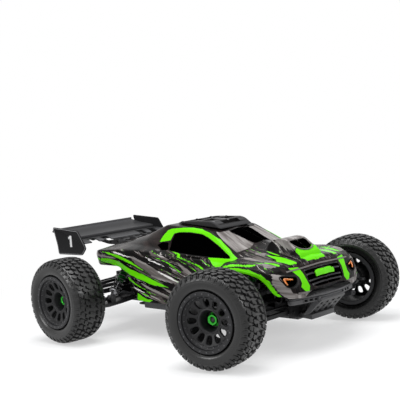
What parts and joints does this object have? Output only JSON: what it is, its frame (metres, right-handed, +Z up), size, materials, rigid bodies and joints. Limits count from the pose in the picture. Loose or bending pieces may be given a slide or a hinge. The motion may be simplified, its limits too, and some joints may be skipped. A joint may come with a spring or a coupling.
{
  "type": "radio controlled monster truck",
  "caption": "Electric off-road race truck model with steered front wheels, sprung double-wishbone arms, lift-off body shell and rear wing.",
  "frame": {"origin": "on the ground below the middle of the whole truck's box, 45 mm behind the middle of the wheelbase", "axes": "+X the way the truck drives, +Y its left side, +Z up"},
  "size_m": [0.786, 0.6194, 0.266],
  "materials": {
    "tyre_rubber": "matte",
    "rim_black": "satin",
    "nut_green": "anodised satin",
    "arm_plastic": "satin",
    "dark_steel": "satin",
    "shock_steel": "polished",
    "shock_green": "anodised satin",
    "spring_black": "gloss",
    "chassis_plastic": "satin",
    "bumper_plastic": "satin",
    "tower_plate": "anodised satin",
    "motor_can": "gloss",
    "controller_case": "satin",
    "servo_case": "satin",
    "battery_wrap": "satin",
    "body_paint": "painted film, gloss",
    "skid_plastic": "satin",
    "wing_plastic": "satin"
  },
  "bodies": {
    "chassis": {"chassis_tub": "chassis_plastic", "front_bumper": "bumper_plastic", "rear_bumper": "chassis_plastic", "gearbox_housings": "chassis_plastic", "shock_towers": "tower_plate", "motor": "motor_can", "speed_controller": "controller_case", "steering_servo": "servo_case", "battery_packs": "battery_wrap"},
    "driveline": {"center_driveshaft": "dark_steel"},
    "shell": {"body_shell": "body_paint", "roof_skid": "skid_plastic", "wing": "wing_plastic", "wing_mount": "skid_plastic"},
    "rack": {"steering_rack": "dark_steel"},
    "horn": {"servo_horn": "arm_plastic"},
    "toe_fl": {"toe_link_fl": "dark_steel"},
    "toe_fr": {"toe_link_fr": "dark_steel"},
    "lower_fl": {"lower_arm_fl": "arm_plastic"},
    "upper_fl": {"upper_arm_fl": "arm_plastic"},
    "upright_fl": {"caster_block_fl": "arm_plastic"},
    "knuckle_fl": {"steering_knuckle_fl": "arm_plastic"},
    "wheel_fl": {"tyre_fl": "tyre_rubber", "rim_fl": "rim_black", "stub_axle_fl": "nut_green"},
    "shaft_fl": {"half_shaft_fl": "dark_steel"},
    "damper_fl": {"shock_body_fl": "shock_green", "shock_spring_fl": "spring_black"},
    "piston_fl": {"shock_shaft_fl": "shock_steel"},
    "lower_fr": {"lower_arm_fr": "arm_plastic"},
    "upper_fr": {"upper_arm_fr": "arm_plastic"},
    "upright_fr": {"caster_block_fr": "arm_plastic"},
    "knuckle_fr": {"steering_knuckle_fr": "arm_plastic"},
    "wheel_fr": {"tyre_fr": "tyre_rubber", "rim_fr": "rim_black", "stub_axle_fr": "nut_green"},
    "shaft_fr": {"half_shaft_fr": "dark_steel"},
    "damper_fr": {"shock_body_fr": "shock_green", "shock_spring_fr": "spring_black"},
    "piston_fr": {"shock_shaft_fr": "shock_steel"},
    "lower_rl": {"lower_arm_rl": "arm_plastic"},
    "upper_rl": {"upper_arm_rl": "arm_plastic"},
    "upright_rl": {"hub_carrier_rl": "arm_plastic"},
    "wheel_rl": {"tyre_rl": "tyre_rubber", "rim_rl": "rim_black", "stub_axle_rl": "nut_green"},
    "shaft_rl": {"half_shaft_rl": "dark_steel"},
    "damper_rl": {"shock_body_rl": "shock_green", "shock_spring_rl": "spring_black"},
    "piston_rl": {"shock_shaft_rl": "shock_steel"},
    "lower_rr": {"lower_arm_rr": "arm_plastic"},
    "upper_rr": {"upper_arm_rr": "arm_plastic"},
    "upright_rr": {"hub_carrier_rr": "arm_plastic"},
    "wheel_rr": {"tyre_rr": "tyre_rubber", "rim_rr": "rim_black", "stub_axle_rr": "nut_green"},
    "shaft_rr": {"half_shaft_rr": "dark_steel"},
    "damper_rr": {"shock_body_rr": "shock_green", "shock_spring_rr": "spring_black"},
    "piston_rr": {"shock_shaft_rr": "shock_steel"}
  },
  "joints": [
    {"name": "lower_arm_fl", "type": "hinge", "parent": "chassis", "child": "lower_fl", "pos_m": [0.285, 0.052, 0.076], "axis": [1, 0, 0], "range_deg": [-10, 14], "stiffness_Nm_per_rad": 14, "springref_deg": -11.46},
    {"name": "upper_arm_fl", "type": "hinge", "parent": "chassis", "child": "upper_fl", "pos_m": [0.285, 0.052, 0.126], "axis": [1, 0, 0], "range_deg": [-10, 14]},
    {"name": "upright_fl", "type": "hinge", "parent": "lower_fl", "child": "upright_fl", "pos_m": [0.285, 0.2, 0.07], "axis": [1, 0, 0], "range_deg": [-14, 10]},
    {"name": "steer_fl", "type": "hinge", "parent": "upright_fl", "child": "knuckle_fl", "pos_m": [0.285, 0.222, 0.0995], "axis": [0, 0, 1], "range_deg": [-40.6, 15.4]},
    {"name": "wheel_fl", "type": "hinge", "parent": "knuckle_fl", "child": "wheel_fl", "pos_m": [0.27911, 0.24835, 0.0995], "axis": [-0.2181, 0.9759, 0], "continuous": true},
    {"name": "half_shaft_fl", "type": "hinge", "parent": "chassis", "child": "shaft_fl", "pos_m": [0.285, 0.04, 0.0995], "axis": [1, 0, 0], "range_deg": [-8.3, 11.5]},
    {"name": "damper_fl", "type": "hinge", "parent": "chassis", "child": "damper_fl", "pos_m": [0.251, 0.07, 0.172], "axis": [1, 0, 0], "range_deg": [-4.7, 6.6]},
    {"name": "piston_fl", "type": "slide", "parent": "damper_fl", "child": "piston_fl", "axis": [0, -0.6559, 0.7549], "range_m": [-0.0136, 0.0191], "deforming": ["shock_spring_fl"]},
    {"name": "lower_arm_fr", "type": "hinge", "parent": "chassis", "child": "lower_fr", "pos_m": [0.285, -0.052, 0.076], "axis": [-1, 0, 0], "range_deg": [-10, 14], "stiffness_Nm_per_rad": 14, "springref_deg": -11.46},
    {"name": "upper_arm_fr", "type": "hinge", "parent": "chassis", "child": "upper_fr", "pos_m": [0.285, -0.052, 0.126], "axis": [-1, 0, 0], "range_deg": [-10, 14]},
    {"name": "upright_fr", "type": "hinge", "parent": "lower_fr", "child": "upright_fr", "pos_m": [0.285, -0.2, 0.07], "axis": [-1, 0, 0], "range_deg": [-14, 10]},
    {"name": "steer_fr", "type": "hinge", "parent": "upright_fr", "child": "knuckle_fr", "pos_m": [0.285, -0.222, 0.0995], "axis": [0, 0, 1], "range_deg": [-40.6, 15.4]},
    {"name": "wheel_fr", "type": "hinge", "parent": "knuckle_fr", "child": "wheel_fr", "pos_m": [0.29089, -0.24835, 0.0995], "axis": [-0.2181, 0.9759, 0], "continuous": true},
    {"name": "half_shaft_fr", "type": "hinge", "parent": "chassis", "child": "shaft_fr", "pos_m": [0.285, -0.04, 0.0995], "axis": [-1, 0, 0], "range_deg": [-8.3, 11.5]},
    {"name": "damper_fr", "type": "hinge", "parent": "chassis", "child": "damper_fr", "pos_m": [0.251, -0.07, 0.172], "axis": [-1, 0, 0], "range_deg": [-4.7, 6.6]},
    {"name": "piston_fr", "type": "slide", "parent": "damper_fr", "child": "piston_fr", "axis": [0, 0.6559, 0.7549], "range_m": [-0.0136, 0.0191], "deforming": ["shock_spring_fr"]},
    {"name": "lower_arm_rl", "type": "hinge", "parent": "chassis", "child": "lower_rl", "pos_m": [-0.195, 0.052, 0.076], "axis": [1, 0, 0], "range_deg": [-10, 14], "stiffness_Nm_per_rad": 14, "springref_deg": -11.46},
    {"name": "upper_arm_rl", "type": "hinge", "parent": "chassis", "child": "upper_rl", "pos_m": [-0.195, 0.052, 0.126], "axis": [1, 0, 0], "range_deg": [-10, 14]},
    {"name": "upright_rl", "type": "hinge", "parent": "lower_rl", "child": "upright_rl", "pos_m": [-0.195, 0.2, 0.07], "axis": [1, 0, 0], "range_deg": [-14, 10]},
    {"name": "wheel_rl", "type": "hinge", "parent": "upright_rl", "child": "wheel_rl", "pos_m": [-0.195, 0.249, 0.0995], "axis": [0, 1, 0], "continuous": true},
    {"name": "half_shaft_rl", "type": "hinge", "parent": "chassis", "child": "shaft_rl", "pos_m": [-0.195, 0.04, 0.0995], "axis": [1, 0, 0], "range_deg": [-8.3, 11.5]},
    {"name": "damper_rl", "type": "hinge", "parent": "chassis", "child": "damper_rl", "pos_m": [-0.161, 0.07, 0.172], "axis": [1, 0, 0], "range_deg": [-4.7, 6.6]},
    {"name": "piston_rl", "type": "slide", "parent": "damper_rl", "child": "piston_rl", "axis": [0, -0.6559, 0.7549], "range_m": [-0.0136, 0.0191], "deforming": ["shock_spring_rl"]},
    {"name": "lower_arm_rr", "type": "hinge", "parent": "chassis", "child": "lower_rr", "pos_m": [-0.195, -0.052, 0.076], "axis": [-1, 0, 0], "range_deg": [-10, 14], "stiffness_Nm_per_rad": 14, "springref_deg": -11.46},
    {"name": "upper_arm_rr", "type": "hinge", "parent": "chassis", "child": "upper_rr", "pos_m": [-0.195, -0.052, 0.126], "axis": [-1, 0, 0], "range_deg": [-10, 14]},
    {"name": "upright_rr", "type": "hinge", "parent": "lower_rr", "child": "upright_rr", "pos_m": [-0.195, -0.2, 0.07], "axis": [-1, 0, 0], "range_deg": [-14, 10]},
    {"name": "wheel_rr", "type": "hinge", "parent": "upright_rr", "child": "wheel_rr", "pos_m": [-0.195, -0.249, 0.0995], "axis": [0, 1, 0], "continuous": true},
    {"name": "half_shaft_rr", "type": "hinge", "parent": "chassis", "child": "shaft_rr", "pos_m": [-0.195, -0.04, 0.0995], "axis": [-1, 0, 0], "range_deg": [-8.3, 11.5]},
    {"name": "damper_rr", "type": "hinge", "parent": "chassis", "child": "damper_rr", "pos_m": [-0.161, -0.07, 0.172], "axis": [-1, 0, 0], "range_deg": [-4.7, 6.6]},
    {"name": "piston_rr", "type": "slide", "parent": "damper_rr", "child": "piston_rr", "axis": [0, 0.6559, 0.7549], "range_m": [-0.0136, 0.0191], "deforming": ["shock_spring_rr"]},
    {"name": "rack_slide", "type": "slide", "parent": "chassis", "child": "rack", "axis": [0, 1, 0], "range_m": [-0.02043, 0.00776]},
    {"name": "servo_horn", "type": "hinge", "parent": "chassis", "child": "horn", "pos_m": [0.3143, 0, 0.137], "axis": [1, 0, 0], "range_deg": [-40.6, 15.4]},
    {"name": "toe_link_fl", "type": "hinge", "parent": "rack", "child": "toe_fl", "pos_m": [0.3143, 0.06454, 0.09], "axis": [1, 0, 0], "range_deg": [-9.1, 12.7]},
    {"name": "toe_link_fr", "type": "hinge", "parent": "rack", "child": "toe_fr", "pos_m": [0.3143, -0.05146, 0.09], "axis": [-1, 0, 0], "range_deg": [-9.1, 12.7]},
    {"name": "driveline_spin", "type": "hinge", "parent": "chassis", "child": "driveline", "pos_m": [0.045, 0, 0.092], "axis": [1, 0, 0], "continuous": true},
    {"name": "body_lift_off", "type": "slide", "parent": "chassis", "child": "shell", "axis": [0, 0, 1], "range_m": [0, 0.08]}
  ],
  "couplings": [
    {"joint": "upper_arm_fl", "follows": "lower_arm_fl", "ratio": 1},
    {"joint": "upright_fl", "follows": "lower_arm_fl", "ratio": -1},
    {"joint": "half_shaft_fl", "follows": "lower_arm_fl", "ratio": 0.814},
    {"joint": "damper_fl", "follows": "lower_arm_fl", "ratio": 0.462},
    {"joint": "piston_fl", "follows": "lower_arm_fl", "m_per_rad": 0.0775},
    {"joint": "upper_arm_fr", "follows": "lower_arm_fr", "ratio": 1},
    {"joint": "upright_fr", "follows": "lower_arm_fr", "ratio": -1},
    {"joint": "half_shaft_fr", "follows": "lower_arm_fr", "ratio": 0.814},
    {"joint": "damper_fr", "follows": "lower_arm_fr", "ratio": 0.462},
    {"joint": "piston_fr", "follows": "lower_arm_fr", "m_per_rad": 0.0775},
    {"joint": "upper_arm_rl", "follows": "lower_arm_rl", "ratio": 1},
    {"joint": "upright_rl", "follows": "lower_arm_rl", "ratio": -1},
    {"joint": "half_shaft_rl", "follows": "lower_arm_rl", "ratio": 0.814},
    {"joint": "damper_rl", "follows": "lower_arm_rl", "ratio": 0.462},
    {"joint": "piston_rl", "follows": "lower_arm_rl", "m_per_rad": 0.0775},
    {"joint": "upper_arm_rr", "follows": "lower_arm_rr", "ratio": 1},
    {"joint": "upright_rr", "follows": "lower_arm_rr", "ratio": -1},
    {"joint": "half_shaft_rr", "follows": "lower_arm_rr", "ratio": 0.814},
    {"joint": "damper_rr", "follows": "lower_arm_rr", "ratio": 0.462},
    {"joint": "piston_rr", "follows": "lower_arm_rr", "m_per_rad": 0.0775},
    {"joint": "steer_fr", "follows": "steer_fl", "ratio": 1},
    {"joint": "rack_slide", "follows": "steer_fl", "m_per_rad": 0.0288},
    {"joint": "servo_horn", "follows": "steer_fl", "ratio": 1},
    {"joint": "toe_link_fl", "follows": "lower_arm_fl", "ratio": 0.902},
    {"joint": "toe_link_fr", "follows": "lower_arm_fr", "ratio": 0.902}
  ]
}
